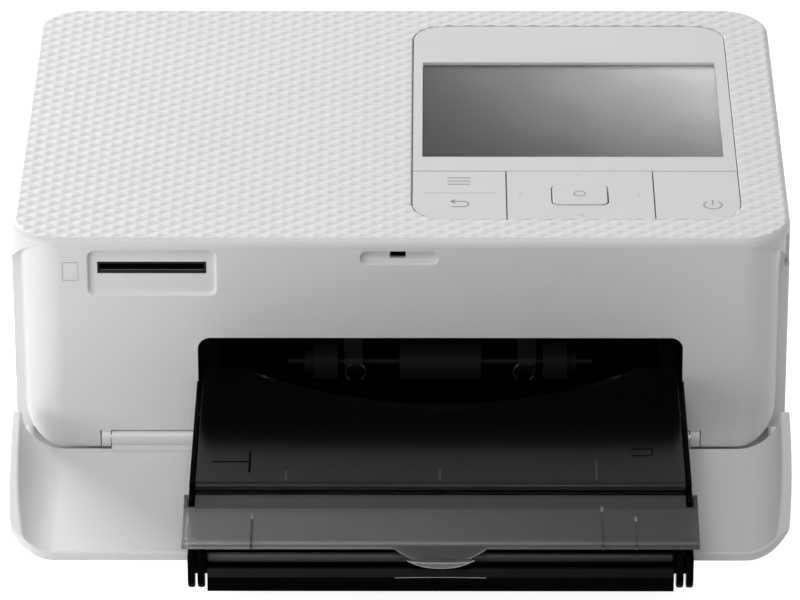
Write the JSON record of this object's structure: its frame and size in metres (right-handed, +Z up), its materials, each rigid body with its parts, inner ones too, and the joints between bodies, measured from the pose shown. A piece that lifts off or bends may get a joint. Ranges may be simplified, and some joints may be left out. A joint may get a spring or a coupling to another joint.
{
  "type": "compact photo printer",
  "caption": "Low rounded photo printer: relief-patterned top, control panel with display, fold-down front cover and a sliding paper tray with a smoked lid and clear flap.",
  "frame": {"origin": "on the table, under the middle of the floor area that the case and the inserted tray cover", "axes": "+X to the printer's right seen from the front, +Y to its back, +Z up"},
  "size_m": [0.1828, 0.2052, 0.0576],
  "materials": {
    "white_shell": "fine matt white",
    "relief_top": "white with a moulded diamond relief",
    "panel_gloss": "satin gloss white",
    "base_grey": "plain grey",
    "foot_rubber": "soft grey rubber",
    "screw_steel": "zinc plated",
    "steel": "ground bright",
    "chassis_steel": "zinc coated sheet",
    "black_frame": "matt black",
    "nylon": "natural nylon",
    "switch_black": "black",
    "board_green": "solder mask",
    "display_glass": "clear pane",
    "display_face": "dark display",
    "tray_black": "fine matt black",
    "lid_smoke": "smoked translucent",
    "flap_clear": "grey translucent",
    "roller_rubber": "grey-green ribbed rubber",
    "platen_rubber": "black rubber",
    "head_ceramic": "glazed ceramic bar",
    "sink_aluminium": "bare extrusion",
    "ribbon_film": "wound dye ribbon",
    "cassette_grey": "light grey",
    "brass": "turned",
    "motor_can": "plated can",
    "lever_white": "white"
  },
  "bodies": {
    "case": {"top_panel": "relief_top", "front_panel": "white_shell", "left_side_panel": "white_shell", "right_side_panel": "white_shell", "rear_panel": "white_shell", "base_plate": "base_grey", "rubber_feet": "foot_rubber", "case_screws": "screw_steel", "cover_hinge_pins": "steel", "cover_catch": "black_frame", "side_cover_pins": "steel", "control_panel": "panel_gloss", "key_switches": "switch_black", "key_board": "board_green", "display_window": "display_glass", "display_module": "display_face", "tray_rails": "nylon", "pickup_arms": "black_frame", "feed_tunnel": "black_frame", "chassis_left_plate": "chassis_steel", "chassis_right_plate": "chassis_steel", "tie_bars": "chassis_steel", "bushes": "nylon", "ribbon_cassette": "cassette_grey", "feed_motor": "motor_can", "ribbon_motor": "motor_can", "motor_bracket": "chassis_steel", "paper_ramp": "black_frame", "card_reader": "steel", "main_board": "board_green", "dc_jack": "switch_black", "usb_socket": "steel", "lever_pin": "steel"},
    "front_cover": {"front_cover": "white_shell"},
    "side_cover": {"side_cover": "white_shell"},
    "tray": {"tray_base": "tray_black"},
    "tray_lid": {"tray_lid": "lid_smoke"},
    "tray_flap": {"tray_flap": "flap_clear"},
    "lift_plate": {"tray_lift_plate": "tray_black"},
    "menu_back_key": {"menu_back_key": "panel_gloss"},
    "nav_ring": {"nav_pivot_ring": "nylon"},
    "nav_pad": {"nav_pad": "panel_gloss"},
    "ok_button": {"ok_button": "panel_gloss"},
    "power_key": {"power_key": "panel_gloss"},
    "pickup": {"pickup_shaft": "steel", "pickup_roller": "roller_rubber", "pickup_side_rollers": "roller_rubber"},
    "platen": {"platen_roller": "platen_rubber"},
    "feed_roller": {"feed_roller": "steel", "feed_gear": "nylon"},
    "pinch_roller": {"pinch_roller": "platen_rubber"},
    "feed_pinion": {"feed_pinion": "brass"},
    "print_head": {"thermal_head": "head_ceramic", "head_heat_sink": "sink_aluminium"},
    "supply_spool": {"supply_spool": "ribbon_film"},
    "take_up": {"take_up_spool": "ribbon_film", "take_up_drive": "nylon"},
    "ribbon_pinion": {"ribbon_pinion": "brass"},
    "eject_lever": {"eject_lever": "lever_white"}
  },
  "joints": [
    {"name": "front_cover_hinge", "type": "hinge", "parent": "case", "child": "front_cover", "pos_m": [0, -0.0271, 0.0049], "axis": [-1, 0, 0], "range_deg": [0, 1.5]},
    {"name": "side_cover_hinge", "type": "hinge", "parent": "case", "child": "side_cover", "pos_m": [0.0891, 0.0841, 0.03], "axis": [0, 0, 1], "range_deg": [0, 95]},
    {"name": "tray_slide", "type": "slide", "parent": "case", "child": "tray", "axis": [0, -1, 0], "range_m": [0, 0.15]},
    {"name": "tray_lid_hinge", "type": "hinge", "parent": "tray", "child": "tray_lid", "pos_m": [0.00935, -0.0794, 0.0205], "axis": [1, 0, 0], "range_deg": [0, 9]},
    {"name": "tray_flap_hinge", "type": "hinge", "parent": "tray", "child": "tray_flap", "pos_m": [0.00935, -0.0829, 0.018], "axis": [-1, 0, 0], "range_deg": [0, 95]},
    {"name": "lift_plate_hinge", "type": "hinge", "parent": "tray", "child": "lift_plate", "pos_m": [0.00935, 0.0321, 0.0094], "axis": [-1, 0, 0], "range_deg": [0, 2.5]},
    {"name": "menu_back_rock", "type": "hinge", "parent": "case", "child": "menu_back_key", "pos_m": [0.01385, -0.00385, 0.0555], "axis": [1, 0, 0], "range_deg": [-1.5, 1.5], "stiffness_Nm_per_rad": 0.2},
    {"name": "nav_ring_rock", "type": "hinge", "parent": "case", "child": "nav_ring", "pos_m": [0.04215, -0.004, 0.0543], "axis": [1, 0, 0], "range_deg": [-1.2, 1.2], "stiffness_Nm_per_rad": 0.2},
    {"name": "nav_pad_rock", "type": "hinge", "parent": "nav_ring", "child": "nav_pad", "pos_m": [0.04215, -0.004, 0.0552], "axis": [0, 1, 0], "range_deg": [-1.2, 1.2], "stiffness_Nm_per_rad": 0.2},
    {"name": "ok_press", "type": "slide", "parent": "case", "child": "ok_button", "axis": [0, 0, -1], "range_m": [0, 0.0004], "stiffness_N_per_m": 300, "springref_m": -0.0004},
    {"name": "power_press", "type": "slide", "parent": "case", "child": "power_key", "axis": [0, 0, -1], "range_m": [0, 0.0004], "stiffness_N_per_m": 300, "springref_m": -0.0004},
    {"name": "pickup_spin", "type": "hinge", "parent": "case", "child": "pickup", "pos_m": [0.00935, -0.0129, 0.0179], "axis": [1, 0, 0], "continuous": true},
    {"name": "platen_spin", "type": "hinge", "parent": "case", "child": "platen", "pos_m": [0.00935, 0.0501, 0.0183], "axis": [1, 0, 0], "continuous": true},
    {"name": "feed_roller_spin", "type": "hinge", "parent": "case", "child": "feed_roller", "pos_m": [0.00935, 0.0601, 0.0205], "axis": [1, 0, 0], "continuous": true},
    {"name": "pinch_roller_spin", "type": "hinge", "parent": "case", "child": "pinch_roller", "pos_m": [0.00935, 0.0601, 0.026], "axis": [1, 0, 0], "continuous": true},
    {"name": "feed_pinion_spin", "type": "hinge", "parent": "case", "child": "feed_pinion", "pos_m": [-0.05125, 0.04879, 0.03181], "axis": [1, 0, 0], "continuous": true},
    {"name": "head_lift", "type": "slide", "parent": "case", "child": "print_head", "axis": [0, 0, 1], "range_m": [0, 0.005]},
    {"name": "supply_spool_spin", "type": "hinge", "parent": "case", "child": "supply_spool", "pos_m": [0.00935, 0.0231, 0.036], "axis": [1, 0, 0], "continuous": true},
    {"name": "take_up_spin", "type": "hinge", "parent": "case", "child": "take_up", "pos_m": [0.00935, 0.0771, 0.036], "axis": [1, 0, 0], "continuous": true},
    {"name": "ribbon_pinion_spin", "type": "hinge", "parent": "case", "child": "ribbon_pinion", "pos_m": [-0.05125, 0.0895, 0.036], "axis": [1, 0, 0], "continuous": true},
    {"name": "eject_lever_turn", "type": "hinge", "parent": "case", "child": "eject_lever", "pos_m": [0.072, 0.0601, 0.014], "axis": [-1, 0, 0], "range_deg": [0, 25]}
  ],
  "couplings": [
    {"joint": "pinch_roller_spin", "follows": "feed_roller_spin", "ratio": -1.3636},
    {"joint": "feed_pinion_spin", "follows": "feed_roller_spin", "ratio": -3},
    {"joint": "ribbon_pinion_spin", "follows": "take_up_spin", "ratio": -2.4444}
  ]
}
